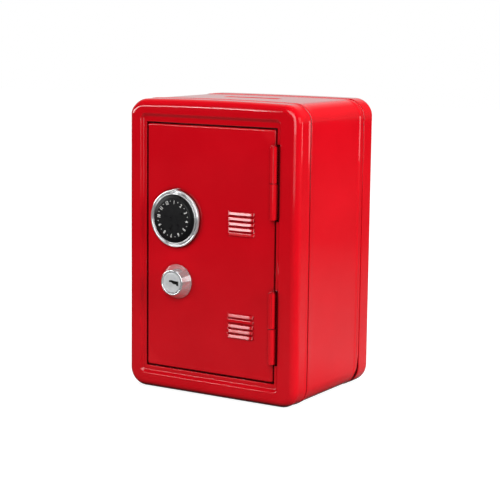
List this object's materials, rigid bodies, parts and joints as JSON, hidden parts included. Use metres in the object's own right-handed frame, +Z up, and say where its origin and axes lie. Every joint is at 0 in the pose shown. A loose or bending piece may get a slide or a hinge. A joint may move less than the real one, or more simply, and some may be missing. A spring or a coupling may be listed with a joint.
{
  "type": "toy safe coin bank",
  "caption": "Small upright pressed-steel money box shaped like a safe, with a coin slot in its top and a hinged door that carries a turning number dial and a key lock.",
  "frame": {"origin": "on the surface the safe stands on, under the middle of the whole object's box", "axes": "+X to the right as the door is faced, -Y out of the door, +Y to the back, +Z up"},
  "size_m": [0.121, 0.0988, 0.18],
  "materials": {
    "red_enamel": "glossy sprayed enamel on pressed steel",
    "bright_chrome": "bright mirror plating",
    "black_dial": "satin black with white printed numbers",
    "plug_metal": "fine turned nickel finish",
    "zinc_steel": "bright zinc plating",
    "wafer_brass": "stamped brass"
  },
  "bodies": {
    "case": {"front_frame": "red_enamel", "body_wrap": "red_enamel", "rear_cover": "red_enamel", "upper_frame_hinge": "red_enamel", "lower_frame_hinge": "red_enamel", "upper_hinge_pin": "red_enamel", "lower_hinge_pin": "red_enamel"},
    "door": {"door_panel": "red_enamel", "upper_door_hinge": "red_enamel", "lower_door_hinge": "red_enamel", "dial_base_ring": "bright_chrome", "dial_spring_washer": "zinc_steel", "lock_housing": "bright_chrome", "lock_nut": "zinc_steel"},
    "dial": {"dial_knob": "black_dial", "dial_trim_ring": "bright_chrome", "dial_spindle": "zinc_steel", "dial_cam": "zinc_steel", "dial_screw": "zinc_steel"},
    "plug": {"lock_plug": "plug_metal", "lock_wafers": "wafer_brass", "wafer_springs": "zinc_steel", "latch_cam": "zinc_steel", "latch_washer": "zinc_steel", "latch_screw": "zinc_steel"}
  },
  "joints": [
    {"name": "door_swing", "type": "hinge", "parent": "case", "child": "door", "pos_m": [0.04415, -0.04565, 0.09], "axis": [0, 0, 1], "range_deg": [0, 170]},
    {"name": "dial_turn", "type": "hinge", "parent": "door", "child": "dial", "pos_m": [-0.0252, -0.04315, 0.1076], "axis": [0, 1, 0], "continuous": true},
    {"name": "key_turn", "type": "hinge", "parent": "door", "child": "plug", "pos_m": [-0.0244, -0.04315, 0.0689], "axis": [0, 1, 0], "range_deg": [0, 90]}
  ]
}
